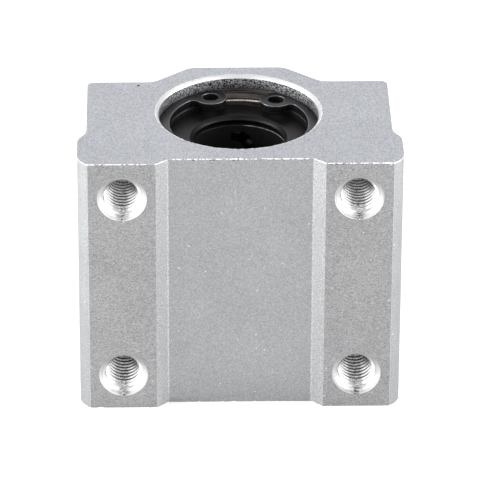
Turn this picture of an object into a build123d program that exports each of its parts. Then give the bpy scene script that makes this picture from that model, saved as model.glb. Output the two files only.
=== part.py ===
from build123d import *
from math import acos, asin, atan2, cos, degrees, radians, sin, sqrt, tan
import os

# Linear bearing block for a 12 mm shaft: a closed extruded block with a ball bushing inside.
# The block stands on one end, as it would on a bench. The origin is on the shaft axis at mid-length.
# X runs across the block, Y from the mounting face to the crown, and Z along the shaft.

os.makedirs("parts", exist_ok=True)

# Block, overall
block_w = 42.0          # across the mounting lips
block_l = 36.0          # along the shaft
shaft_h = 15.0          # mounting face to shaft axis
crown_h = 28.0          # mounting face to crown
shoulder_h = 23.7       # mounting face to shoulders

# Block, section
corner_r = 3.0          # extruded round that the milled pads cut off
corner_h = 2.5          # mounting face to the end of that round
lip_h = 6.3             # mounting face to the top of the lip
waist_l = 3.4           # height of the curve from the lip to the side wall
waist_in = 1.15         # how far the side wall stands in from the lip
pad_x = 10.9            # inner edge of a pad, from the middle
recess_x = 9.4          # edge of the floor between the pads, from the middle
recess_d = 1.35         # depth of that floor below the pads
shoulder_r = 0.9        # outer corner of a shoulder
crown_x = 6.2           # edge of the crown, before its round
crown_slope = 41.2      # fall of the crown's flanks, in degrees
crown_r = 2.4           # round at the crown's edge
valley_r = 2.5          # hollow where a flank meets its shoulder
bore_chamfer = 0.42     # at both mouths of the shaft bore

# Mounting holes
hole_x = 30.5           # spacing across the block
hole_z = 26.0           # spacing along the shaft
thread_d = 5.0          # major diameter of the tapped holes
thread_l = 12.0         # tapped length
through_d = 4.3         # drilled on through to the shoulders
mouth_d = 6.4           # countersunk mouth, 90 degrees

# Shaft and ball bushing
shaft_d = 12.0
bush_sink = 3.0         # end of the bushing below the end of the block
bush_chamfer = 0.3
slot_w = 1.3            # outer snap-ring grooves of the bushing
slot_depth = 0.5
slot_in = 3.5           # end of the bushing to the first side of such a groove
rim_t = 1.2             # wall of the bushing at its ends, round the seals
seat_w = 0.169          # step inside it that the end rings sit on

# Balls and their tracks
circuits = 4
ball_d = 2.381
ball_gap = 0.04         # least gap between balls
turn_r = 2.0            # half the distance between the two rows of a track
return_lift = 0.7       # how much farther out the return row runs
track_air = 0.05        # between a ball and its track
land_w = 3.6            # width of a raceway in the bushing
land_end = 0.6          # how far a raceway stops before the turn

# Retainer, end rings and seals
cage_air = 0.13         # retainer to raceways, and its collars to the bushing
cage_bore_air = 0.2     # retainer to shaft
collar_t = 0.3          # collar at each end
turn_wall = 0.4         # plastic between a turn and the retainer's end
ring_t = 0.4            # end ring
ring_w = 1.5            # radial width of an end ring
seal_t = 1.0
seal_sink = 0.75        # seal face below the end of the bushing
lip_bevel = 0.45        # bevel round the seal's lip
lip_t = 0.2             # edge of the lip
end_air = 0.03          # end play of the retainer
fit_air = 0.01          # between pieces pressed or slid together

# Circlips
clip_t = 1.0
clip_groove_w = 1.1
clip_groove_depth = 0.5
clip_air = 0.03         # between a clip's rim and the bottom of its groove
clip_back = 2.4         # radial width opposite the gap
clip_horn = 1.35        # radial width beside the lugs
lug_r = 2.1
lug_blend = 0.8         # hollow where a lug meets its horn
eye_d = 2.2
eye_angle = 29.2        # from the middle of the gap to an eye, in degrees
upper_gap_at = 84.3     # where the gaps face, in degrees from +X towards +Y
lower_gap_at = 97.0

# Places that follow from these sizes
half_w = block_w / 2
half_l = block_l / 2
mount_y = -shaft_h
recess_y = mount_y + recess_d
lip_y = mount_y + lip_h
shoulder_y = shoulder_h - shaft_h
crown_y = crown_h - shaft_h
wall_x = half_w - waist_in
flank_x = crown_x + (crown_h - shoulder_h) / tan(radians(crown_slope))
corner_angle = degrees(asin(corner_h / corner_r))
waist_angle = degrees(2 * atan2(waist_in, waist_l))
waist_r = waist_l / (2 * sin(radians(waist_angle)))

# The bushing is built up from the shaft to 21 mm outside diameter and 30 mm length
shaft_r = shaft_d / 2
ball_r = ball_d / 2
race_r = shaft_r + ball_d
loaded_r = shaft_r + ball_r
return_r = loaded_r + return_lift
relief_r = return_r + ball_r + track_air
rim_r = relief_r + seat_w
bush_r = rim_r + rim_t
bush_end = half_l - bush_sink
slot_end = bush_end - slot_in
seal_face = bush_end - seal_sink
ring_face = seal_face - seal_t
ring_seat = ring_face - ring_t
cage_end = ring_seat - end_air
cage_r = race_r - cage_air
collar_r = relief_r - cage_air
cage_bore = shaft_r + cage_bore_air
track_r = ball_r + track_air
turn_z = cage_end - turn_wall - track_r - turn_r
bore_r = bush_r + fit_air
groove_r = bore_r + clip_groove_depth
clip_mid = bush_end + clip_groove_w / 2

# One track: its rows and turns lie in one plane, which clears the shaft between the rows
row_angle = degrees(acos((loaded_r**2 + return_r**2 - 4 * turn_r**2) / (2 * loaded_r * return_r)))
loaded_at = Vector(loaded_r, 0, 0).rotate(Axis.Z, -row_angle / 2)
return_at = Vector(return_r, 0, 0).rotate(Axis.Z, row_angle / 2)
across = (return_at - loaded_at).normalized()
track_plane = Plane(origin=(loaded_at + return_at) / 2, x_dir=across, z_dir=across.rotate(Axis.Z, -90))
land_angle = -row_angle / 2


def turn_point(angle):
    """A ball's centre in the upper turn, angle degrees from its top."""
    u = turn_r * sin(radians(angle))
    v = turn_z + turn_r * cos(radians(angle))
    return track_plane.from_local_coords(Vector(u, v, 0))


# Ball places: three in each turn, and as many in each row as go between them
ball_pitch = ball_d + ball_gap
turn_step = degrees(2 * asin(ball_pitch / (2 * turn_r)))
side_step = turn_r - turn_r * sin(radians(turn_step))
row_end = turn_z + turn_r * cos(radians(turn_step)) - sqrt(ball_pitch**2 - side_step**2)
row_balls = int(2 * row_end / ball_pitch) + 1
row_pitch = 2 * row_end / (row_balls - 1)
row_heights = [row_end - i * row_pitch for i in range(row_balls)]
loaded_row = [Vector(loaded_at.X, loaded_at.Y, z) for z in row_heights]
return_row = [Vector(return_at.X, return_at.Y, z) for z in row_heights]
upper_turn = [turn_point(angle) for angle in (-turn_step, 0, turn_step)]
lower_turn = [Vector(p.X, p.Y, -p.Z) for p in upper_turn]

# Housing
with BuildPart() as housing:
    with BuildSketch(Plane.XY.offset(-half_l)):
        with BuildLine():
            corner = CenterArc((half_w - corner_r, mount_y + corner_h), corner_r,
                               -corner_angle, corner_angle)
            Polyline((0, recess_y), (recess_x, recess_y), (pad_x, mount_y), corner @ 0)
            Line(corner @ 1, (half_w, lip_y))
            lip_curve = JernArc((half_w, lip_y), (0, 1), waist_r, waist_angle)
            wall_curve = JernArc(lip_curve @ 1, lip_curve % 1, waist_r, -waist_angle)
            FilletPolyline(wall_curve @ 1, (wall_x, shoulder_y), (flank_x, shoulder_y),
                           (crown_x, crown_y), (0, crown_y), radius=[shoulder_r, valley_r, crown_r])
            mirror(about=Plane.YZ)
        make_face()
    extrude(amount=block_l)
    # Shaft bore with a chamfered mouth and a circlip groove at each end
    Hole(bore_r)
    chamfer(housing.edges().filter_by(GeomType.CIRCLE).group_by(SortBy.RADIUS)[-1], bore_chamfer)
    with Locations((0, 0, clip_mid), (0, 0, -clip_mid)):
        Cylinder(groove_r, clip_groove_w, mode=Mode.SUBTRACT)
    # Four tapped holes, drilled on through to the shoulders
    with Locations(Plane(origin=(0, mount_y, 0), x_dir=(1, 0, 0), z_dir=(0, -1, 0))):
        with GridLocations(hole_x, hole_z, 2, 2):
            CounterSinkHole(thread_d / 2, mouth_d / 2, thread_l, 90)
            Hole(through_d / 2)
housing.part.label = "housing"
export_step(housing.part, "parts/housing.step")

# Bearing sleeve: a turned and ground steel cylinder with four raceways inside
with BuildPart() as bearing_sleeve:
    with BuildSketch(Plane.XZ):
        with BuildLine():
            Polyline((relief_r, 0), (relief_r, ring_seat), (rim_r, ring_seat), (rim_r, bush_end),
                     (bush_r - bush_chamfer, bush_end), (bush_r, bush_end - bush_chamfer),
                     (bush_r, slot_end), (bush_r - slot_depth, slot_end),
                     (bush_r - slot_depth, slot_end - slot_w), (bush_r, slot_end - slot_w),
                     (bush_r, 0))
            mirror(about=Plane.XZ)
        make_face()
    revolve(axis=Axis.Z)
    with BuildSketch(Plane.XY.offset(land_end - turn_z)):
        with PolarLocations(race_r, circuits, start_angle=land_angle):
            Rectangle(2 * (relief_r - race_r), land_w)
        Circle(relief_r + fit_air, mode=Mode.INTERSECT)
        Circle(race_r, mode=Mode.SUBTRACT)
    extrude(amount=2 * (turn_z - land_end))
bearing_sleeve.part.label = "bearing_sleeve"
export_step(bearing_sleeve.part, "parts/bearing_sleeve.step")

# Cutter for one ball track: a channel of five flats, open outwards, that closes on itself
track_floor = track_r * tan(radians(22.5))
track_section = [(-track_r, ball_d), (-track_r, -track_floor), (-track_floor, -track_r),
                 (track_floor, -track_r), (track_r, -track_floor), (track_r, ball_d)]
with BuildPart() as ball_track:
    for row in (loaded_at, return_at):
        with BuildSketch(Plane(origin=row - Vector(0, 0, turn_z), x_dir=across, z_dir=(0, 0, -1))):
            Polygon(*track_section, align=None)
        extrude(amount=-2 * turn_z)
    for side in (1, -1):
        turn_mid = track_plane.origin + Vector(0, 0, side * turn_z)
        start = loaded_at + Vector(0, 0, side * turn_z)
        with BuildSketch(Plane(origin=start, x_dir=across, z_dir=(0, 0, -1))):
            Polygon(*track_section, align=None)
        revolve(axis=Axis(turn_mid, -side * track_plane.z_dir), revolution_arc=180)

# Ball retainer: a moulded tube with a collar at each end and four tracks cut from outside
with BuildPart() as ball_retainer:
    with BuildSketch(Plane.XY.offset(-cage_end)):
        Circle(cage_r)
    extrude(amount=2 * cage_end)
    for bottom in (-cage_end, cage_end - collar_t):
        with BuildSketch(Plane.XY.offset(bottom)):
            Circle(collar_r)
        extrude(amount=collar_t)
    Hole(cage_bore)
    with PolarLocations(0, circuits):
        add(ball_track.part, mode=Mode.SUBTRACT)
ball_retainer.part.label = "ball_retainer"
export_step(ball_retainer.part, "parts/ball_retainer.step")

# One ball, as a solid of 26 flats whose corners lie on the true ball
flat_ball = ball_d / sqrt(1 + 2 * (sqrt(2) - 1) ** 2)
with BuildPart() as ball:
    Box(flat_ball, flat_ball, flat_ball)
    chamfer(ball.edges(), flat_ball * (1 - 1 / (1 + sqrt(2))) / 2)

# Balls, grouped by track and by the stretch of track they are in
for number in range(circuits):
    stretches = {"loaded": loaded_row, "return": return_row, "turning": upper_turn + lower_turn}
    for stretch, places in stretches.items():
        with BuildPart() as balls:
            for place in places:
                with Locations(place.rotate(Axis.Z, number * 360 / circuits)):
                    add(ball.part)
        name = f"{stretch}_balls_{number + 1}"
        balls.part.label = name
        export_step(balls.part, f"parts/{name}.step")

# End rings, which keep the retainer in the sleeve, and seals, one of each at each end
for end_name, side in (("upper", 1), ("lower", -1)):
    with BuildPart() as end_ring:
        with BuildSketch(Plane.XY.offset(side * (ring_face + ring_seat) / 2)):
            Circle(rim_r - fit_air)
            Circle(rim_r - ring_w, mode=Mode.SUBTRACT)
        extrude(amount=ring_t / 2, both=True)
    end_ring.part.label = f"end_ring_{end_name}"
    export_step(end_ring.part, f"parts/end_ring_{end_name}.step")

    with BuildPart() as seal:
        with BuildSketch(Plane.XZ):
            with BuildLine():
                Polyline((rim_r - fit_air, side * ring_face), (rim_r - fit_air, side * seal_face),
                         (shaft_r + lip_bevel, side * seal_face),
                         (shaft_r + fit_air, side * (seal_face - lip_bevel)),
                         (shaft_r + fit_air, side * (seal_face - lip_bevel - lip_t)),
                         (shaft_r + lip_bevel, side * ring_face), close=True)
            make_face()
        revolve(axis=Axis.Z)
    seal.part.label = f"seal_{end_name}"
    export_step(seal.part, f"parts/seal_{end_name}.step")

# Circlips: stamped spring steel, widest opposite the gap, with an eyed lug at each horn
clip_r = groove_r - clip_air
clip_bore = clip_r - (clip_back + clip_horn) / 2
clip_shift = (clip_back - clip_horn) / 2
eye_at = clip_r - lug_r
gap_reach = 2 * clip_r
gap_side = gap_reach * tan(radians(eye_angle))
for end_name, side, gap_at in (("upper", 1, upper_gap_at), ("lower", -1, lower_gap_at)):
    with BuildPart() as circlip:
        with BuildSketch(Plane.XY.offset(side * clip_mid).rotated((0, 0, gap_at))) as outline:
            Circle(clip_r)
            with Locations((clip_shift, 0)):
                Circle(clip_bore, mode=Mode.SUBTRACT)
            Polygon((0, 0), (gap_reach, -gap_side), (gap_reach, gap_side),
                    align=None, mode=Mode.SUBTRACT)
            with PolarLocations(eye_at, 2, start_angle=-eye_angle, angular_range=4 * eye_angle) as eyes:
                Circle(lug_r)
            fillet(outline.vertices().sort_by_distance((0, 0))[:2], lug_blend)
            with Locations(eyes.local_locations):
                Circle(eye_d / 2, mode=Mode.SUBTRACT)
        extrude(amount=clip_t / 2, both=True)
    circlip.part.label = f"circlip_{end_name}"
    export_step(circlip.part, f"parts/circlip_{end_name}.step")
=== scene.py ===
import math

import bmesh
import bpy
from mathutils import Matrix, Vector, noise


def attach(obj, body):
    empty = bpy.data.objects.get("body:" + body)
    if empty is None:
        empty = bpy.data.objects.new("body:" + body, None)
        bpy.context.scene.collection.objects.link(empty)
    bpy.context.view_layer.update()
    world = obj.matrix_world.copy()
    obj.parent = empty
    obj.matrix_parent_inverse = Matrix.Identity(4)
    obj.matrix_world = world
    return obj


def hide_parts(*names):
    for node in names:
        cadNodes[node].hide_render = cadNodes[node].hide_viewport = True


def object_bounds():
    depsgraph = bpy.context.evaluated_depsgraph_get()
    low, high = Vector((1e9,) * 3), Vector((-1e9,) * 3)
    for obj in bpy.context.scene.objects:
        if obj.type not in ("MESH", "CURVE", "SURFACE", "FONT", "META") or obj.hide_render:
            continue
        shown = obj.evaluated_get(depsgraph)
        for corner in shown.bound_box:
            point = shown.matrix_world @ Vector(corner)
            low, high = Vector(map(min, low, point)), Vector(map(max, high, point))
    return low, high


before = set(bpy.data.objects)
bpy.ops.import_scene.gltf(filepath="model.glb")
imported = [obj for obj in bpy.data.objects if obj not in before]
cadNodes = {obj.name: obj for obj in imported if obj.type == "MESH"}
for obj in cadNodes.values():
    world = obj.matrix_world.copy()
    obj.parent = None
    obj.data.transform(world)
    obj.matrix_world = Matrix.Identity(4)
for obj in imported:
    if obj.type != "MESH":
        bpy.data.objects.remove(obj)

mm = 0.001
cadLow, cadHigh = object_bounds()
print("frame loaded:", len(cadNodes), "nodes")


# Camera, fitted to the holes, edges and bore of the block in the photograph

cameraFit = {
    "azimuth": -1.277,      # degrees, and below 0 to the left of square on
    "elevation": 28.361,
    "roll": 0.234,
    "distance": 573.04,     # mm from the point looked at
    "lookAt": (0.249, 0.0, -1.156),
    "focal": 4313.1,        # in pixels of a frame 480 wide
    "frameWidth": 480,
    "sensor": 36.0,
    "clip": (0.01, 20),     # m
}


def placeCamera(fit):
    azimuth, elevation, roll = (math.radians(fit[key]) for key in ("azimuth", "elevation", "roll"))
    back = Vector((math.sin(azimuth) * math.cos(elevation), -math.cos(azimuth) * math.cos(elevation),
                   math.sin(elevation)))
    level = Vector((math.cos(azimuth), math.sin(azimuth), 0))
    upward = back.cross(level)
    right = math.cos(roll) * level + math.sin(roll) * upward
    top = math.cos(roll) * upward - math.sin(roll) * level
    camera = bpy.data.objects.new("photoCamera", bpy.data.cameras.new("photoCamera"))
    bpy.context.scene.collection.objects.link(camera)
    camera.data.sensor_width = fit["sensor"]
    camera.data.lens = fit["focal"] / fit["frameWidth"] * fit["sensor"]
    camera.data.clip_start, camera.data.clip_end = fit["clip"]
    turned = Matrix((right, top, back)).transposed().to_4x4()
    camera.matrix_world = Matrix.Translation((Vector(fit["lookAt"]) + back * fit["distance"]) * mm) @ turned
    bpy.context.scene.camera = camera


placeCamera(cameraFit)


# Small tools for shader trees

def addNode(tree, kind, values=None, **settings):
    node = tree.nodes.new(kind)
    for key, value in settings.items():
        setattr(node, key, value)
    for key, value in (values or {}).items():
        if isinstance(value, bpy.types.NodeSocket):
            tree.links.new(value, node.inputs[key])
        else:
            node.inputs[key].default_value = value
    return node


def newGroup(name, inputs, outputs):
    tree = bpy.data.node_groups.new(name, "ShaderNodeTree")
    for label, kind, value in inputs:
        tree.interface.new_socket(label, in_out="INPUT", socket_type=kind).default_value = value
    for label in outputs:
        tree.interface.new_socket(label, in_out="OUTPUT", socket_type="NodeSocketFloat")
    return tree, tree.nodes.new("NodeGroupInput").outputs, tree.nodes.new("NodeGroupOutput").inputs


# Groups shared by the finishes: blasted grain with specks, tool lines, and the painted shade above a
# countersink, its rougher top and the painted dark reflection below it

grainValues = {
    "detail": 3.0, "grainRoughness": 0.65, "cloudRoughness": 0.5,
    "speckEdge": 0.02,      # the soft rim of a speck, as a share of its cell
    "emptyCells": 0.55,     # the share of cells without a speck
}


def blastedGrainGroup(values):
    tree, given, result = newGroup(
        "blastedGrain",
        [("Vector", "NodeSocketVector", (0, 0, 0)), ("Grains", "NodeSocketFloat", 4000.0),
         ("Clouds", "NodeSocketFloat", 150.0), ("Specks", "NodeSocketFloat", 600.0),
         ("Speck Size", "NodeSocketFloat", 0.12)],
        ["Grain", "Cloud", "Speck"])
    grain = addNode(tree, "ShaderNodeTexNoise", {"Vector": given["Vector"], "Scale": given["Grains"],
                                                 "Detail": values["detail"],
                                                 "Roughness": values["grainRoughness"]})
    cloud = addNode(tree, "ShaderNodeTexNoise", {"Vector": given["Vector"], "Scale": given["Clouds"],
                                                 "Detail": values["detail"],
                                                 "Roughness": values["cloudRoughness"]})
    cells = addNode(tree, "ShaderNodeTexVoronoi", {"Vector": given["Vector"], "Scale": given["Specks"]})
    pick = addNode(tree, "ShaderNodeSeparateColor", {"Color": cells.outputs["Color"]})
    size = addNode(tree, "ShaderNodeMath", {0: pick.outputs[0], 1: given["Speck Size"]},
                   operation="MULTIPLY")
    edge = addNode(tree, "ShaderNodeMath", {0: size.outputs[0], 1: cells.outputs["Distance"]},
                   operation="SUBTRACT")
    mask = addNode(tree, "ShaderNodeMapRange", {"Value": edge.outputs[0], "From Min": 0.0,
                                                "From Max": values["speckEdge"]})
    seldom = addNode(tree, "ShaderNodeMath", {0: pick.outputs[1], 1: values["emptyCells"]},
                     operation="GREATER_THAN")
    speck = addNode(tree, "ShaderNodeMath", {0: mask.outputs[0], 1: seldom.outputs[0]}, operation="MULTIPLY")
    tree.links.new(grain.outputs[0], result["Grain"])
    tree.links.new(cloud.outputs[0], result["Cloud"])
    tree.links.new(speck.outputs[0], result["Speck"])
    return tree


lineValues = {"bendScale": 260.0, "bendDetail": 1.0, "detail": 2.0, "roughness": 0.6}


def cutLinesGroup(values):
    tree, given, result = newGroup(
        "cutLines",
        [("Vector", "NodeSocketVector", (0, 0, 0)), ("Across", "NodeSocketVector", (300, 300, 2800)),
         ("Wander", "NodeSocketFloat", 0.0)],
        ["Lines"])
    bent = addNode(tree, "ShaderNodeTexNoise", {"Vector": given["Vector"], "Scale": values["bendScale"],
                                                "Detail": values["bendDetail"]})
    shift = addNode(tree, "ShaderNodeVectorMath", {0: bent.outputs["Color"], "Scale": given["Wander"]},
                    operation="SCALE")
    moved = addNode(tree, "ShaderNodeVectorMath", {0: given["Vector"], 1: shift.outputs[0]}, operation="ADD")
    drawn = addNode(tree, "ShaderNodeVectorMath", {0: moved.outputs[0], 1: given["Across"]},
                    operation="MULTIPLY")
    lines = addNode(tree, "ShaderNodeTexNoise", {"Vector": drawn.outputs[0], "Scale": 1.0,
                                                 "Detail": values["detail"],
                                                 "Roughness": values["roughness"]})
    tree.links.new(lines.outputs[0], result["Lines"])
    return tree


holeRoughAndPaintedLightValues = {
    "above": (-0.0012, 0.002),          # m from the middle of a hole, from bright below to painted shade and a rougher finish above
    "below": (-0.0016, -0.0019),        # m from there, where the streak of painted dark reflection sets in
    "streakDrawn": (2600, 9000, 9000),  # its noise along each axis
    "streakDetail": 2.0,
    "gapNoise": (0.45, 0.52),               # the noise that leaves gaps in the streak
}


def holeRoughAndPaintedLightGroup(values):
    tree, given, result = newGroup(
        "holeRoughAndPaintedLight",
        [("Vector", "NodeSocketVector", (0, 0, 0)), ("Hole X", "NodeSocketFloat", 0.01525),
         ("Hole Z", "NodeSocketFloat", 0.013), ("Streak Half", "NodeSocketFloat", 0.001)],
        ["Above", "Streak"])
    place = addNode(tree, "ShaderNodeSeparateXYZ", {0: given["Vector"]}).outputs
    away = addNode(tree, "ShaderNodeMath", {0: place["X"]}, operation="ABSOLUTE")
    away = addNode(tree, "ShaderNodeMath", {0: away.outputs[0], 1: given["Hole X"]}, operation="SUBTRACT")
    aside = addNode(tree, "ShaderNodeMath", {0: away.outputs[0]}, operation="ABSOLUTE")
    rows = addNode(tree, "ShaderNodeMath", {0: given["Hole Z"], 1: 2.0}, operation="MULTIPLY")
    height = addNode(tree, "ShaderNodeMath", {0: place["Z"], 1: rows.outputs[0]}, operation="FLOORED_MODULO")
    height = addNode(tree, "ShaderNodeMath", {0: height.outputs[0], 1: given["Hole Z"]},
                     operation="SUBTRACT")
    above = addNode(tree, "ShaderNodeMapRange", {"Value": height.outputs[0], "From Min": values["above"][0],
                                                 "From Max": values["above"][1]})
    near = addNode(tree, "ShaderNodeMapRange", {"Value": aside.outputs[0], "From Min": given["Streak Half"],
                                                "From Max": 0.0})
    drawn = addNode(tree, "ShaderNodeVectorMath", {0: given["Vector"], 1: values["streakDrawn"]},
                    operation="MULTIPLY")
    gapNoise = addNode(tree, "ShaderNodeTexNoise", {"Vector": drawn.outputs[0], "Scale": 1.0,
                                                "Detail": values["streakDetail"]})
    gap = addNode(tree, "ShaderNodeMapRange", {"Value": gapNoise.outputs[0], "From Min": values["gapNoise"][0],
                                               "From Max": values["gapNoise"][1]})
    below = addNode(tree, "ShaderNodeMapRange", {"Value": height.outputs[0], "From Min": values["below"][0],
                                                 "From Max": values["below"][1]})
    both = addNode(tree, "ShaderNodeMath", {0: near.outputs[0], 1: gap.outputs[0]}, operation="MULTIPLY")
    both = addNode(tree, "ShaderNodeMath", {0: both.outputs[0], 1: below.outputs[0]}, operation="MULTIPLY")
    tree.links.new(above.outputs[0], result["Above"])
    tree.links.new(both.outputs[0], result["Streak"])
    return tree


blastedGrain = blastedGrainGroup(grainValues)
cutLines = cutLinesGroup(lineValues)
holeRoughAndPaintedLight = holeRoughAndPaintedLightGroup(holeRoughAndPaintedLightValues)


# A finish: grain and specks, cut lines where a tool has been, and a bump from both

def makeFinish(name, look):
    material = bpy.data.materials.new(name)
    material.use_nodes = True
    tree = material.node_tree
    shader = tree.nodes["Principled BSDF"]
    shader.inputs["Metallic"].default_value = look["metallic"]
    if "specular" in look:
        shader.inputs["Specular IOR Level"].default_value = look["specular"]
    place = addNode(tree, "ShaderNodeTexCoord").outputs["Object"]
    grain = addNode(tree, "ShaderNodeGroup", {"Vector": place, "Grains": look["grains"],
                                              "Clouds": look["clouds"], "Specks": look["specks"],
                                              "Speck Size": look["speckSize"]}, node_tree=blastedGrain)
    lines = addNode(tree, "ShaderNodeGroup", {"Vector": place, "Across": look["across"],
                                              "Wander": look["wander"]}, node_tree=cutLines)
    weights = ((grain.outputs["Grain"], look["grainShade"]), (grain.outputs["Cloud"], look["cloudShade"]),
               (lines.outputs["Lines"], look["lineShade"]))
    shade = 0.5             # every pattern lightens or darkens from the middle tone
    for socket, weight in weights:
        part = addNode(tree, "ShaderNodeMath", {0: socket, 1: -0.5}, operation="ADD").outputs[0]
        shade = addNode(tree, "ShaderNodeMath", {0: part, 1: weight, 2: shade},
                        operation="MULTIPLY_ADD").outputs[0]
    ramp = addNode(tree, "ShaderNodeValToRGB", {0: shade})
    ramp.color_ramp.elements[0].color = (*look["dark"], 1)
    ramp.color_ramp.elements[1].color = (*look["pale"], 1)
    colour = addNode(tree, "ShaderNodeMix", {0: grain.outputs["Speck"], 6: ramp.outputs[0],
                                             7: (*look["speckColour"], 1)}, data_type="RGBA")
    if "fleckAt" in look:       # one dark fleck of dirt
        away = addNode(tree, "ShaderNodeVectorMath", {0: place, 1: look["fleckAt"]}, operation="DISTANCE")
        fleck = addNode(tree, "ShaderNodeMapRange", {"Value": away.outputs["Value"],
                                                     "From Min": look["fleckRadius"],
                                                     "From Max": look["fleckRadius"] / 2})
        colour = addNode(tree, "ShaderNodeMix", {0: fleck.outputs[0], 6: colour.outputs[2],
                                                 7: (*look["fleckColour"], 1)}, data_type="RGBA")
    if "paintedShadeColour" in look:    # painted shade that deepens along one axis
        depth = addNode(tree, "ShaderNodeSeparateXYZ", {0: place}).outputs[look["fadeAxis"]]
        fade = addNode(tree, "ShaderNodeMapRange", {"Value": depth, "From Min": look["fadeFrom"],
                                                    "From Max": look["fadeTo"]})
        colour = addNode(tree, "ShaderNodeMix", {0: fade.outputs[0], 6: colour.outputs[2],
                                                 7: (*look["paintedShadeColour"], 1)}, data_type="RGBA")
    if "holes" in look:     # a countersink: rougher and in painted shade above its hole, with a streak of painted dark reflection below it
        marks = addNode(tree, "ShaderNodeGroup", {"Vector": place, "Hole X": look["holes"][0],
                                                  "Hole Z": look["holes"][1]}, node_tree=holeRoughAndPaintedLight)
        for label, key in (("Above", "paintedShadeAboveColour"), ("Streak", "paintedDarkReflectionColour")):
            if key in look:
                colour = addNode(tree, "ShaderNodeMix", {0: marks.outputs[label], 6: colour.outputs[2],
                                                         7: (*look[key], 1)}, data_type="RGBA")
    rough = addNode(tree, "ShaderNodeMapRange", {"Value": shade, "To Min": look["roughness"][0],
                                                 "To Max": look["roughness"][1]})
    if "aboveRough" in look:
        rough = addNode(tree, "ShaderNodeMix", {0: marks.outputs["Above"], 2: rough.outputs[0],
                                                3: look["aboveRough"]})
    height = addNode(tree, "ShaderNodeMath", {0: grain.outputs["Grain"], 1: look["grainHeight"]},
                     operation="MULTIPLY").outputs[0]
    height = addNode(tree, "ShaderNodeMath", {0: lines.outputs["Lines"], 1: look["lineHeight"], 2: height},
                     operation="MULTIPLY_ADD").outputs[0]
    height = addNode(tree, "ShaderNodeMath", {0: grain.outputs["Speck"], 1: look["speckHeight"], 2: height},
                     operation="MULTIPLY_ADD").outputs[0]
    bump = addNode(tree, "ShaderNodeBump", {"Strength": 1.0, "Distance": mm, "Height": height})
    tree.links.new(colour.outputs[2], shader.inputs["Base Color"])
    tree.links.new(rough.outputs[0], shader.inputs["Roughness"])
    tree.links.new(bump.outputs[0], shader.inputs["Normal"])
    return material


# Values shared by every finish; each finish below changes what is its own

plainLook = {
    "metallic": 1.0,
    "pale": (0.52, 0.53, 0.54), "dark": (0.25, 0.255, 0.26), "speckColour": (0.9, 0.9, 0.9),
    "roughness": (0.45, 0.55),
    "grains": 6200.0, "clouds": 150.0, "specks": 620.0, "speckSize": 0.07,
    "grainShade": 2.6, "cloudShade": 0.25, "lineShade": 0.0,
    "across": (300, 300, 2800), "wander": 0.0, "fadeAxis": "Y",
    "grainHeight": 0.006, "lineHeight": 0.0, "speckHeight": 0.006,   # in mm
}

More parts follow.
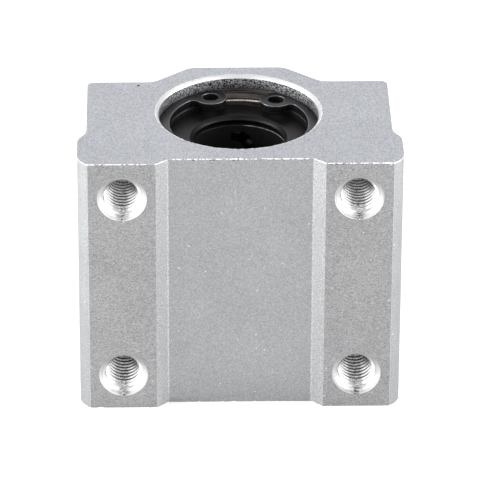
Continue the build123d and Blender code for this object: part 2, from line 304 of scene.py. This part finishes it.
finishLooks = {
    "blastedAluminium": {"pale": (0.442, 0.45, 0.459), "dark": (0.212, 0.217, 0.221), "grainShade": 2.0,
                         "specks": 900.0, "speckSize": 0.11, "speckColour": (0.62, 0.62, 0.62)},
    "cutEndAluminium": {"pale": (0.61, 0.622, 0.657), "dark": (0.345, 0.355, 0.382), "grains": 5000.0,
                        "grainShade": 1.2, "across": (5600, 2800, 2800), "lineShade": 2.0, "specks": 560.0,
                        "speckSize": 0.08, "speckColour": (0.75, 0.75, 0.75), "roughness": (0.7, 0.85),
                        "metallic": 0.85, "fleckAt": (-0.0131, 0.0077, 0.018), "fleckRadius": 0.00026,
                        "fleckColour": (0.03, 0.03, 0.035)},
    "milledAluminium": {"pale": (0.452, 0.452, 0.457), "dark": (0.157, 0.157, 0.161),
                        "across": (3800, 3800, 10500), "grains": 7500.0, "wander": 0.0003, "lineShade": 1.4,
                        "grainShade": 1.6, "lineHeight": 0.004, "specks": 880.0,
                        "speckSize": 0.11, "speckColour": (0.6, 0.6, 0.6)},
    # painted light: the slopes beside the pads are paler than the blasted faces, for the side light that
    # falls on them
    "paintedLightSlopeAluminium": {"pale": (0.522, 0.527, 0.536), "dark": (0.27, 0.274, 0.28), "grainShade": 3.2},
    # painted highlight: a paler colour on the rounded folds beside the pads
    "paintedHighlightFoldAluminium": {"pale": (0.6, 0.6, 0.61), "dark": (0.3, 0.3, 0.31), "grainShade": 3.4},
    "burrAluminium": {"pale": (0.97, 0.97, 0.97), "dark": (0.75, 0.75, 0.75), "metallic": 0.4,
                      "roughness": (0.35, 0.5)},
    # painted shade: the bore wall darkens deeper into the upper bore, towards the circlip groove
    "boredAluminium": {"pale": (0.64, 0.64, 0.66), "dark": (0.01, 0.01, 0.012), "roughness": (0.3, 0.5),
                       "grains": 5000.0, "grainShade": 7.0, "metallic": 0.6, "grainHeight": 0.02,
                       "across": (4200, 4200, 4200), "lineShade": 2.0, "lineHeight": 0.01,
                       "fadeAxis": "Z", "fadeFrom": 0.0172, "fadeTo": 0.0158,
                       "paintedShadeColour": (0.03, 0.03, 0.035)},
    "turnedAluminium": {"pale": (0.42, 0.38, 0.365), "dark": (0.05, 0.045, 0.042), "roughness": (0.3, 0.5),
                        "metallic": 0.6, "across": (120, 120, 3200), "lineShade": 2.6, "grainShade": 0.8,
                        "lineHeight": 0.006},
    "brightAluminium": {"pale": (0.97, 0.97, 0.97), "dark": (0.7, 0.7, 0.71), "roughness": (0.3, 0.5),
                        "metallic": 0.75, "across": (120, 5200, 120), "lineShade": 1.0, "lineHeight": 0.004,
                        "grainHeight": 0.002, "grainShade": 0.8, "speckColour": (0.5, 0.5, 0.5)},
    # the countersinks: painted shade above each hole, and a streak of painted dark reflection below it
    "coneAluminium": {"pale": (0.94, 0.94, 0.94), "dark": (0.5, 0.5, 0.51), "roughness": (0.3, 0.5),
                      "metallic": 0.75, "across": (120, 4600, 120), "lineShade": 2.8, "lineHeight": 0.01,
                      "grainHeight": 0.002, "grainShade": 0.6, "speckColour": (0.4, 0.4, 0.4),
                      "holes": (0.01525, 0.013), "paintedShadeAboveColour": (0.4, 0.4, 0.405), "aboveRough": 0.9,
                      "paintedDarkReflectionColour": (0.04, 0.04, 0.04)},
    # painted shade: the thread darkens deeper in the hole; its streak is a painted dark reflection, as on
    # the countersink
    "tappedAluminium": {"pale": (1.0, 1.0, 1.0), "dark": (0.9, 0.9, 0.91), "roughness": (0.15, 0.3),
                        "metallic": 0.85, "grainHeight": 0.001, "speckHeight": 0.0, "grainShade": 0.6,
                        "holes": (0.01525, 0.013), "paintedDarkReflectionColour": (0.36, 0.36, 0.36),
                        "fadeFrom": -0.0128, "fadeTo": -0.0095, "paintedShadeColour": (0.8, 0.8, 0.81)},
    # painted shade: the walls and thread roots deep in a hole darken towards black
    "grooveAluminium": {"pale": (0.9, 0.9, 0.9), "dark": (0.6, 0.6, 0.6), "roughness": (0.4, 0.5),
                        "metallic": 0.6, "grainHeight": 0.001, "speckHeight": 0.0, "fadeFrom": -0.0139,
                        "fadeTo": -0.013, "paintedShadeColour": (0.06, 0.06, 0.06)},
    # painted shadow: a dark finish for the bead set below the front burr
    "paintedShadowAluminium": {"pale": (0.2, 0.2, 0.2), "dark": (0.05, 0.05, 0.05), "roughness": (0.5, 0.7)},
    # painted shadow: the sleeve's end face darkens towards the front, where the circlip shades it
    "groundSteel": {"pale": (0.2, 0.17, 0.16), "dark": (0.04, 0.034, 0.032), "roughness": (0.25, 0.4),
                    "metallic": 0.7, "across": (300, 2400, 3000), "lineShade": 2.4, "grainShade": 1.0,
                    "grainHeight": 0.001, "fadeFrom": 0.0088, "fadeTo": 0.0078,
                    "paintedShadeColour": (0.03, 0.026, 0.024)},
    # painted highlight: the sleeve's broken rim is pale, darkened by painted circlip shadow except at the
    # back
    "paintedHighlightSteel": {"pale": (0.98, 0.9, 0.87), "dark": (0.5, 0.45, 0.43), "roughness": (0.2, 0.35),
                  "metallic": 0.3, "across": (900, 900, 300), "lineShade": 3.0, "grainHeight": 0.001,
                  "fadeFrom": 0.009, "fadeTo": 0.0084, "paintedShadeColour": (0.05, 0.044, 0.042)},
    # painted shade: the steel balls are coloured near black, as they lie in shadow inside the bushing
    "paintedShadeBallSteel": {"pale": (0.03, 0.03, 0.031), "dark": (0.012, 0.012, 0.013), "roughness": (0.3, 0.4),
                  "grainHeight": 0.0, "speckHeight": 0.0},
    "ringSteel": {"pale": (0.5, 0.5, 0.51), "dark": (0.3, 0.3, 0.31), "roughness": (0.25, 0.4)},
    "springSteel": {"pale": (0.045, 0.045, 0.048), "dark": (0.012, 0.012, 0.013), "roughness": (0.25, 0.45),
                    "metallic": 0.8, "speckColour": (0.35, 0.35, 0.35), "grainHeight": 0.003},
    # painted highlight: the circlips' broken edges are much paler than the spring steel
    "paintedHighlightSpring": {"pale": (0.35, 0.35, 0.36), "dark": (0.08, 0.08, 0.085), "roughness": (0.25, 0.45),
                   "metallic": 0.8, "grainHeight": 0.003},
    "retainerPlastic": {"pale": (0.02, 0.02, 0.02), "dark": (0.008, 0.008, 0.008), "metallic": 0.0,
                        "roughness": (0.3, 0.45), "specular": 0.3, "speckColour": (0.45, 0.45, 0.45),
                        "specks": 420.0, "speckSize": 0.12, "grainHeight": 0.002},
    # painted glint: the retainer's broken end edges are pale right of X 1.6 mm, dark elsewhere
    "paintedGlintPlastic": {"pale": (0.5, 0.5, 0.5), "dark": (0.12, 0.12, 0.12), "metallic": 0.0,
                    "roughness": (0.2, 0.3), "across": (900, 900, 900), "lineShade": 3.0,
                    "grainHeight": 0.001, "fadeAxis": "X", "fadeFrom": 0.0016, "fadeTo": 0.0006,
                    "paintedShadeColour": (0.01, 0.01, 0.01)},
    "sealRubber": {"pale": (0.008, 0.008, 0.008), "dark": (0.002, 0.002, 0.002), "metallic": 0.0,
                   "roughness": (0.35, 0.5), "specular": 0.2, "speckColour": (0.16, 0.16, 0.16),
                   "grainHeight": 0.002},
    # painted highlight: the seals' broken edges are a little paler than the rubber
    "paintedHighlightRubber": {"pale": (0.022, 0.022, 0.023), "dark": (0.008, 0.008, 0.009), "metallic": 0.0,
                   "roughness": (0.3, 0.45), "specular": 0.2, "speckColour": (0.16, 0.16, 0.16),
                   "grainHeight": 0.002},
}
finishes = {name: makeFinish(name, {**plainLook, **look}) for name, look in finishLooks.items()}
print("finishes made:", len(finishes))


# Small tools for pieces

cadMerge = {"distance": 0.0003, "flatDegrees": 0.3}     # joins the loose triangles of a CAD node again


def finishPiece(name, bm, materials, stands=(), sharpAngle=35, flatFaces=True):
    mesh = bpy.data.meshes.new(name)
    bm.to_mesh(mesh)
    bm.free()
    for material in materials:
        mesh.materials.append(finishes[material])
    mesh.shade_smooth()
    mesh.set_sharp_from_angle(angle=math.radians(sharpAngle))
    piece = bpy.data.objects.new(name, mesh)
    bpy.context.scene.collection.objects.link(piece)
    if flatFaces:
        weighted = piece.modifiers.new("flatFaces", "WEIGHTED_NORMAL")
        weighted.keep_sharp = True
    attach(piece, "root")
    if stands:
        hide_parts(*stands)
    return piece


def cadCopy(nodeName):
    bm = bmesh.new()
    bm.from_mesh(cadNodes[nodeName].data)
    bmesh.ops.remove_doubles(bm, verts=bm.verts, dist=cadMerge["distance"] * mm)
    bmesh.ops.dissolve_limit(bm, angle_limit=math.radians(cadMerge["flatDegrees"]), verts=bm.verts,
                             edges=bm.edges)
    for face in bm.faces:
        face.material_index = 0
    return bm


def sharpEdges(bm, degrees):
    return [edge for edge in bm.edges if len(edge.link_faces) == 2
            and edge.calc_face_angle(0) > math.radians(degrees)]


def roundEdges(bm, edges, width, steps):
    return bmesh.ops.bevel(bm, geom=edges, offset=width * mm, offset_type="OFFSET", affect="EDGES",
                           segments=steps, profile=0.5, material=-1, clamp_overlap=True)["faces"]


# Housing: the CAD block with its edges broken, each face given the finish that its tool left, with painted
# light on the slopes beside the pads and a painted highlight on the folds

housingShape = {
    "holeX": 15.25, "holeZ": 13.0, "holeReach": 3.3,
    "mountY": -15.0, "endZ": 18.0, "mouthDepth": 0.75,
    "boreReach": 11.1,      # all that the bore, its chamfers and grooves reach
    "grooveZ": 16.15,       # the outer wall of each circlip groove
    "slopeX": (9.4, 10.9),  # the slopes between the recess and the pads
    "folds": ((9.4, 0.13), (10.9, 0.02), (19.66, 0.035)),    # long edges beside the pads: place, rounding
    "foldDegrees": 8, "foldSteps": 3, "foldReach": 1.5,     # how far up from the pads such an edge lies
    "edgeBreak": 0.07, "breakDegrees": 30, "breakSteps": 2,
    "endBand": 0.15,        # a broken edge this near an end is bright
    "chamferBand": 1.0,     # so is a bore chamfer this near an end
    "square": 0.95,         # least share of a normal along an axis, on a face square to it
    "slanted": 0.3,         # and along Z, on a chamfer of the bore
    "sloping": 0.2,         # and along -Y, on a slope beside a pad
    "touch": 0.05, "touchRim": 0.01,        # mm within which a place counts as met
}
zoneFinishes = ["blastedAluminium", "cutEndAluminium", "milledAluminium", "paintedLightSlopeAluminium",
                "boredAluminium", "brightAluminium", "grooveAluminium", "coneAluminium",
                "turnedAluminium", "paintedHighlightFoldAluminium"]
(blastedZone, endZone, milledZone, paintedLightSlopeZone, boredZone, brightZone, grooveZone, coneZone, turnedZone,
 paintedHighlightFoldZone) = range(len(zoneFinishes))


def holeAway(verts, shape):     # how far the farthest of them lies from the axis of its hole
    return max(math.hypot(abs(v.co.x / mm) - shape["holeX"], abs(v.co.z / mm) - shape["holeZ"])
               for v in verts)


def zoneOf(face, shape):
    middle = face.calc_center_median() / mm
    normal = face.normal
    if max(math.hypot(v.co.x, v.co.y) for v in face.verts) / mm < shape["boreReach"]:
        if abs(middle.z) < shape["grooveZ"]:
            return turnedZone
        nearEnd = abs(middle.z) > shape["endZ"] - shape["chamferBand"]
        return brightZone if nearEnd and abs(normal.z) > shape["slanted"] else boredZone
    if holeAway(face.verts, shape) < shape["holeReach"]:
        # a hole's wall behind its countersink takes the groove finish, with painted shade deeper in
        return coneZone if middle.y < shape["mountY"] + shape["mouthDepth"] else grooveZone
    if abs(normal.z) > shape["square"]:
        return endZone
    if normal.y < -shape["square"] and middle.y < shape["mountY"] + shape["touch"]:
        return milledZone
    # painted light: a slope beside a pad takes the paler slope finish
    if normal.y < -shape["sloping"] and shape["slopeX"][0] < abs(middle.x) < shape["slopeX"][1]:
        return paintedLightSlopeZone
    return blastedZone


def isFold(edge, foldX, shape):     # a long edge of the profile, at foldX on either side
    a, b = (v.co / mm for v in edge.verts)
    return (abs(a.z - b.z) > shape["endZ"] and max(a.y, b.y) < shape["mountY"] + shape["foldReach"]
            and max(abs(abs(a.x) - foldX), abs(abs(b.x) - foldX)) < shape["touch"])


def isRim(edge, shape):     # the rims of the countersinks stay crisp
    return (all(v.co.y / mm < shape["mountY"] + shape["touchRim"] for v in edge.verts)
            and holeAway(edge.verts, shape) < shape["holeReach"])


def buildHousing(shape):
    bm = cadCopy("housing")
    for foldX, foldRound in shape["folds"]:
        edges = [edge for edge in sharpEdges(bm, shape["foldDegrees"]) if isFold(edge, foldX, shape)]
        # the rounded folds take a paler finish, a painted highlight
        for face in roundEdges(bm, edges, foldRound, shape["foldSteps"]):
            face.material_index = paintedHighlightFoldZone
    broken = [edge for edge in sharpEdges(bm, shape["breakDegrees"]) if not isRim(edge, shape)]
    rounded = set(roundEdges(bm, broken, shape["edgeBreak"], shape["breakSteps"]))
    bm.normal_update()
    bandZ = (shape["endZ"] - shape["endBand"]) * mm
    for face in bm.faces:
        if face.material_index != paintedHighlightFoldZone:
            face.material_index = zoneOf(face, shape)
        if face in rounded and min(abs(v.co.z) for v in face.verts) > bandZ:
            face.material_index = brightZone
    return finishPiece("block", bm, zoneFinishes, ["housing"])


buildHousing(housingShape)
print("housing made")


# Burrs: a thin ragged bead of metal along the cut edges, heaviest along the front of the upper end, with a
# dark bead below the front one as painted shadow

burrShapes = {     # in mm; each flake is a place along X and the thickness there
    "burrFront": {"radius": 0.045, "spread": 0.45, "inset": 0.043, "drop": 0, "step": 0.16, "wander": 0.014,
                  "flakes": ((-18.1, 0.07), (-15.9, 0.05), (-14.9, 0.08), (-12.6, 0.05), (-10.3, 0.06),
                             (-5.7, 0.09), (-5.2, 0.08), (-1.1, 0.08), (-0.6, 0.13), (-0.1, 0.09),
                             (4.6, 0.07), (6.6, 0.08), (7.5, 0.08), (11.9, 0.07), (14.1, 0.09),
                             (14.5, 0.07), (17.0, 0.08), (18.6, 0.12), (19.1, 0.13), (19.6, 0.08)),
                  "flakeReach": 0.22},
    "burrEnds": {"radius": 0.03, "spread": 0.7, "inset": 0.04, "drop": 0, "step": 0.3, "wander": 0.02,
                 "flakes": (), "flakeReach": 0.2},
    "burrBore": {"radius": 0.03, "spread": 0.9, "inset": 0.02, "drop": 0, "step": 0.25, "wander": 0.03,
                 "flakes": (), "flakeReach": 0.2},
    # a dark bead dropped below the front burr: painted shadow beneath its flakes
    "burrShadowBeads": {"radius": 0.012, "spread": 0.5, "inset": 0.035, "drop": 0.13, "step": 0.12, "wander": 0.015,
                 "flakes": ((-18.4, 0.06), (-17.9, 0.07), (-16.3, 0.06), (-15.8, 0.05), (-12.3, 0.05),
                            (-9.2, 0.05), (-6.1, 0.08), (-3.8, 0.1), (-3.4, 0.07), (-0.9, 0.11),
                            (-0.4, 0.08), (2.6, 0.06), (5.4, 0.07), (8.3, 0.05), (11.5, 0.08),
                            (12.3, 0.09), (13.1, 0.08), (16.1, 0.05)),
                 "flakeReach": 0.26},
}
burrRules = {
    "seed": 3, "wanderScale": 2.3,
    "ripples": ((3.1, 0.35), (8.3, 0.35)),      # scale and height of each noise in the bead's thickness
    "frontY": -12.4,        # the upper front edge runs below this
    "insetY": -12.0,        # beads below this are set back from the front as well
    "touch": 0.01, "leastTurn": 0.5,            # mm from an end, and radians that a cut edge turns at least
}


def rootEachRun(bm, skin):      # the Skin modifier needs one root in each run of edges
    reached = set()
    for v in bm.verts:
        if v not in reached:
            v[skin].use_root = True
            front = [v]
            while front:
                one = front.pop()
                reached.add(one)
                front += [e.other_vert(one) for e in one.link_edges if e.other_vert(one) not in reached]


def burrAlong(name, look, keep, rules, finish="burrAluminium"):
    bm = cadCopy("housing")
    bmesh.ops.scale(bm, verts=bm.verts, vec=(1 / mm,) * 3)
    bmesh.ops.delete(bm, geom=[edge for edge in bm.edges if not keep(edge)], context="EDGES")
    bmesh.ops.delete(bm, geom=bm.faces[:], context="FACES_ONLY")
    for edge in bm.edges[:]:
        cuts = round(edge.calc_length() / look["step"]) - 1
        if cuts > 0:
            bmesh.ops.subdivide_edges(bm, edges=[edge], cuts=cuts)
    skin = bm.verts.layers.skin.verify()
    for v in bm.verts:
        ripple = sum(height * noise.noise(v.co * scale) for scale, height in rules["ripples"])
        size = look["radius"] * (1 + look["spread"] * 2 * ripple)
        for place, swell in look["flakes"]:
            near = max(0, 1 - abs(v.co.x - place) / look["flakeReach"])
            size = max(size, swell * near)
        v[skin].radius = (size, size)
        v[skin].use_root = False
    rootEachRun(bm, skin)
    for v in bm.verts:
        inward = Vector((0, look["inset"] if v.co.y < rules["insetY"] else 0,
                         -math.copysign(look["inset"] + look["drop"], v.co.z)))
        v.co += inward + noise.noise_vector(v.co * rules["wanderScale"]) * look["wander"]
    line = bpy.data.meshes.new(name + "Line")
    bm.to_mesh(line)
    bm.free()
    draft = bpy.data.objects.new(name + "Draft", line)
    bpy.context.scene.collection.objects.link(draft)
    draft.modifiers.new("bead", "SKIN")
    bpy.context.view_layer.update()
    beaded = bpy.data.meshes.new_from_object(draft.evaluated_get(bpy.context.evaluated_depsgraph_get()))
    bpy.data.objects.remove(draft)
    bpy.data.meshes.remove(line)
    bm = bmesh.new()
    bm.from_mesh(beaded)
    bpy.data.meshes.remove(beaded)
    bmesh.ops.scale(bm, verts=bm.verts, vec=(mm,) * 3)
    bmesh.ops.recalc_face_normals(bm, faces=bm.faces)
    return finishPiece(name, bm, [finish], sharpAngle=50, flatFaces=False)


def onEnd(edge):
    a, b = (v.co.z for v in edge.verts)
    return (abs(a - b) < burrRules["touch"] and abs(abs(a) - housingShape["endZ"]) < burrRules["touch"]
            and edge.calc_face_angle(0) > burrRules["leastTurn"])


def onOutline(edge):
    return onEnd(edge) and min(math.hypot(v.co.x, v.co.y) for v in edge.verts) > housingShape["boreReach"]


def onFront(edge):
    return onOutline(edge) and all(v.co.z > 0 and v.co.y < burrRules["frontY"] for v in edge.verts)


def onEndsElsewhere(edge):
    return onOutline(edge) and not onFront(edge)


def onBoreMouth(edge):
    return onEnd(edge) and not onOutline(edge)


noise.seed_set(burrRules["seed"])       # else noise_vector differs from run to run
burrAlong("burrFront", burrShapes["burrFront"], onFront, burrRules)
burrAlong("burrShadowBeads", burrShapes["burrShadowBeads"], onFront, burrRules, "paintedShadowAluminium")
burrAlong("burrEnds", burrShapes["burrEnds"], onEndsElsewhere, burrRules)
burrAlong("burrBore", burrShapes["burrBore"], onBoreMouth, burrRules)
print("burrs made")


# Tapped threads, one ridge in each of the four holes

threadShape = {
    "major": 2.5, "minor": 2.15, "pitch": 0.8, "crest": 0.14, "root": 0.56,   # M5 x 0.8
    "paintedShadeShare": 0.52,     # the share of the flank, from the root, that is painted in shade
    "paintedShadeFrom": 2.4,       # depth at which the painted shade starts
    "sunk": 0.03,           # how far the ridge stands into the wall of the hole
    "start": -0.4, "length": 12.2, "stepsPerTurn": 36,
    "coneRadius": 3.2,      # countersink at the face
    "mouthCut": 0.45,       # depth at which the ridge starts
    "flankSlope": 0.577,    # of a flank of 30 degrees
    "air": 0.02,            # how far behind the countersink the cut turns lie
    "endSides": 8,          # most sides of a cut end that is closed
}


def buildThread(name, centreX, centreZ, shape, block):
    bm = bmesh.new()
    sunk = shape["major"] + shape["sunk"]
    widest = shape["root"] / 2 + shape["sunk"] * shape["flankSlope"]
    share = shape["paintedShadeShare"]
    flank = (sunk + share * (shape["minor"] - sunk), widest + share * (shape["crest"] / 2 - widest))
    section = [(sunk, -widest), (flank[0], -flank[1]), (shape["minor"], -shape["crest"] / 2),
               (shape["minor"], shape["crest"] / 2), (flank[0], flank[1]), (sunk, widest)]
    first = block["mountY"] + shape["start"]
    corners = [bm.verts.new(Vector((centreX + radius, first + depth, centreZ)) * mm)
               for radius, depth in section]
    bm.faces.new(corners)
    turns = shape["length"] / shape["pitch"]
    steps = round(turns * shape["stepsPerTurn"])
    bmesh.ops.spin(bm, geom=bm.verts[:] + bm.edges[:] + bm.faces[:],
                   cent=Vector((centreX, first, centreZ)) * mm, axis=(0, 1, 0),
                   dvec=Vector((0, shape["pitch"] / shape["stepsPerTurn"], 0)) * mm,
                   angle=math.tau * turns, steps=steps, use_merge=False)
    # painted shade: deep faces on the root side of the flank take the groove finish, which darkens deep in
    # the hole
    for face in bm.faces:
        nearest = min(math.hypot(v.co.x / mm - centreX, v.co.z / mm - centreZ) for v in face.verts)
        deep = min(v.co.y for v in face.verts) / mm > block["mountY"] + shape["paintedShadeFrom"]
        face.material_index = 1 if deep and nearest > flank[0] - shape["air"] else 0
    # The countersink cuts the first turns away: what would stand in it goes just behind its cone
    for v in bm.verts:
        depth = v.co.y / mm - block["mountY"]
        away = Vector((v.co.x / mm - centreX, v.co.z / mm - centreZ))
        least = shape["coneRadius"] - depth + shape["air"]
        if away.length < least:
            away = away.normalized() * least
            v.co.x, v.co.z = (centreX + away.x) * mm, (centreZ + away.y) * mm
    hidden = [v for v in bm.verts if v.co.y / mm < block["mountY"] + shape["mouthCut"]]
    bmesh.ops.delete(bm, geom=hidden, context="VERTS")
    bmesh.ops.holes_fill(bm, edges=[e for e in bm.edges if e.is_boundary], sides=shape["endSides"])
    bmesh.ops.recalc_face_normals(bm, faces=bm.faces)
    return finishPiece(name, bm, ["tappedAluminium", "grooveAluminium"],
                       flatFaces=False)


for column, sideX in (("left", -1), ("right", 1)):
    for rowName, sideZ in (("top", 1), ("bottom", -1)):
        buildThread(f"thread_{rowName}_{column}", sideX * housingShape["holeX"],
                    sideZ * housingShape["holeZ"], threadShape, housingShape)
print("threads made")


# Bushing and what closes it: the CAD pieces with their edges broken, most of those edges given a painted
# highlight

softenDegrees, softenSteps = 40, 2
softened = {     # piece, finishes, slot, how wide its edges are broken, and how far from the middle on
    "bearing_sleeve": ("sleeve", ("groundSteel", "paintedHighlightSteel"), "ground_steel", 0.14, 14.9),
    "ball_retainer": ("retainer", ("retainerPlastic", "paintedGlintPlastic"), "retainer_plastic", 0.06, 12.7),
    "end_ring_upper": ("ringUpper", ("ringSteel",), "ring_steel", 0.05, 0),
    "end_ring_lower": ("ringLower", ("ringSteel",), "ring_steel", 0.05, 0),
    "seal_upper": ("sealUpper", ("sealRubber", "paintedHighlightRubber"), "seal_rubber", 0.1, 0),
    "seal_lower": ("sealLower", ("sealRubber", "paintedHighlightRubber"), "seal_rubber", 0.1, 0),
    "circlip_upper": ("circlipUpper", ("springSteel", "paintedHighlightSpring"), "spring_steel", 0.07, 0),
    "circlip_lower": ("circlipLower", ("springSteel", "paintedHighlightSpring"), "spring_steel", 0.07, 0),
}
for nodeName, (pieceName, pieceFinishes, slotName, width, leastZ) in softened.items():
    bm = cadCopy(nodeName)
    edges = [edge for edge in sharpEdges(bm, softenDegrees)
             if min(abs(v.co.z) for v in edge.verts) >= leastZ * mm]
    for face in roundEdges(bm, edges, width, softenSteps):
        face.material_index = len(pieceFinishes) - 1    # a broken edge has the last finish named: a painted highlight on the sleeve, seals and circlips, a painted glint on the retainer
    finishPiece(pieceName, bm, pieceFinishes, [nodeName])
print("bushing made")


# Balls: true spheres in the places of the faceted ones

ballShape = {"radius": 1.1905, "subdivisions": 3, "sharpDegrees": 80}


def islandCentres(nodeName):
    bm = cadCopy(nodeName)
    left = set(bm.verts)
    centres = []
    while left:
        start = left.pop()
        island, edgeOfIsland = [start], [start]
        while edgeOfIsland:
            vert = edgeOfIsland.pop()
            for link in vert.link_edges:
                other = link.other_vert(vert)
                if other in left:
                    left.discard(other)
                    island.append(other)
                    edgeOfIsland.append(other)
        low = Vector([min(v.co[i] for v in island) for i in range(3)])
        high = Vector([max(v.co[i] for v in island) for i in range(3)])
        centres.append((low + high) / 2)
    bm.free()
    return sorted(centres, key=lambda c: (round(c.z, 6), round(c.x, 6), round(c.y, 6)))


for nodeName in sorted(cadNodes):
    if "_balls_" in nodeName:
        bm = bmesh.new()
        for centre in islandCentres(nodeName):
            bmesh.ops.create_icosphere(bm, subdivisions=ballShape["subdivisions"],
                                       radius=ballShape["radius"] * mm, matrix=Matrix.Translation(centre))
        finishPiece(nodeName.replace("_balls", "Balls"), bm, ["paintedShadeBallSteel"], [nodeName],
                    sharpAngle=ballShape["sharpDegrees"], flatFaces=False)
print("balls made")


# Studio: a pale floor, an even world, and soft lamps at both sides, in front and behind

studio = {
    "floorSize": 3.0, "floorColour": (0.92, 0.92, 0.92), "floorRough": 0.9, "floorGlow": 0.2,
    "world": 0.4,
    "lights": {   # place in m, size in m, power in W
        "leftLow": ((-0.40, -0.05, 0.10), 0.30, 3.4),
        "rightLow": ((0.40, -0.05, 0.10), 0.30, 2.5),
        "front": ((0, -0.357, 0.222), 0.24, 0.06),
        "leftFront": ((-0.263, -0.313, 0.095), 0.24, 0.17),
        "rightFront": ((0.263, -0.313, 0.095), 0.24, 0.17),
        "leftHigh": ((-0.20, -0.20, 0.36), 0.20, 0.15),
        "rightHigh": ((0.20, -0.20, 0.36), 0.20, 0.2),
        "back": ((0, 0.42, 0.22), 0.40, 0.67),
    },
}


def buildStudio(values):
    bm = bmesh.new()
    bmesh.ops.create_grid(bm, x_segments=1, y_segments=1, size=values["floorSize"],
                          matrix=Matrix.Translation((0, 0, cadLow.z)))
    mesh = bpy.data.meshes.new("floor")
    bm.to_mesh(mesh)
    bm.free()
    material = bpy.data.materials.new("paleFloor")
    material.use_nodes = True
    shader = material.node_tree.nodes["Principled BSDF"]
    shader.inputs["Base Color"].default_value = (*values["floorColour"], 1)
    shader.inputs["Roughness"].default_value = values["floorRough"]
    shader.inputs["Specular IOR Level"].default_value = 0.0
    shader.inputs["Emission Color"].default_value = (1, 1, 1, 1)
    shader.inputs["Emission Strength"].default_value = values["floorGlow"]
    mesh.materials.append(material)
    floor = bpy.data.objects.new("floor", mesh)
    bpy.context.scene.collection.objects.link(floor)
    world = bpy.data.worlds.new("softRoom")
    world.use_nodes = True
    world.node_tree.nodes["Background"].inputs["Color"].default_value = (1, 1, 1, 1)
    world.node_tree.nodes["Background"].inputs["Strength"].default_value = values["world"]
    bpy.context.scene.world = world
    for name, (place, size, power) in values["lights"].items():
        data = bpy.data.lights.new(name, "AREA")
        data.shape, data.size, data.energy = "SQUARE", size, power
        lamp = bpy.data.objects.new(name, data)
        bpy.context.scene.collection.objects.link(lamp)
        lamp.visible_camera = False
        lamp.matrix_world = (Matrix.Translation(place)
                             @ (-Vector(place)).to_track_quat("-Z", "Y").to_matrix().to_4x4())
    bpy.context.scene.view_settings.view_transform = "Standard"


buildStudio(studio)
print("studio made")
